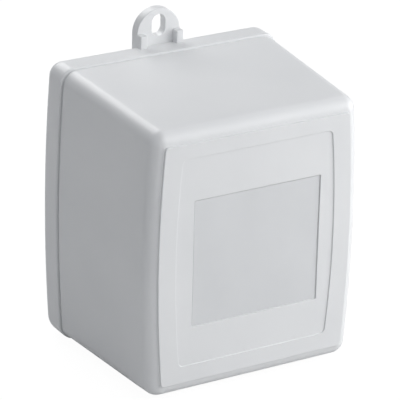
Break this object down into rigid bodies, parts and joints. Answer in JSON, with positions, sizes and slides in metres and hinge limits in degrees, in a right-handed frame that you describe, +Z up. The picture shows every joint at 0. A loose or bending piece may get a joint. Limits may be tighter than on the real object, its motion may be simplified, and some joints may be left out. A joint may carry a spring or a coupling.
{
  "type": "plug-in transformer",
  "caption": "Light grey plug-in wall transformer with a bowed two-part case, slotted screw tab on top, blank label place, flat plug blades behind and screw terminals underneath.",
  "frame": {"origin": "centre of the flat back face that meets the wall outlet", "axes": "+Y out of the back into the wall along the plug blades, +Z up toward the screw tab, the label faces -Y"},
  "size_m": [0.0758, 0.0774, 0.0978],
  "materials": {
    "case": "fine moulded satin",
    "label": "matt film",
    "blade": "rolled, slightly brushed",
    "nylon": "moulded nylon",
    "steel": "bright zinc plate",
    "plated": "nickel plate on brass",
    "core": "varnished silicon steel",
    "copper": "enamelled copper wire",
    "tape": "polyester tape",
    "can": "drawn can",
    "black_lead": "smooth insulation",
    "white_lead": "smooth insulation",
    "yellow_lead": "smooth insulation",
    "card": "pressed insulation paper",
    "pad": "cellular pad"
  },
  "bodies": {
    "root": {"front_housing": "case", "back_plate": "case", "rating_label": "label", "neutral_blade": "blade", "line_blade": "blade", "blade_retainer": "nylon", "retainer_screws": "steel", "terminal_block": "nylon", "terminal_plate_left": "plated", "terminal_plate_right": "plated", "terminal_screws": "steel", "core_e_plates": "core", "core_i_plates": "core", "bobbin": "nylon", "primary_winding": "copper", "secondary_winding": "copper", "primary_tape": "tape", "secondary_tape": "tape", "thermal_cutoff": "can", "line_lead": "black_lead", "neutral_lead": "white_lead", "secondary_lead_left": "yellow_lead", "secondary_lead_right": "yellow_lead", "insulation_card": "card", "core_pads": "pad"}
  },
  "joints": []
}
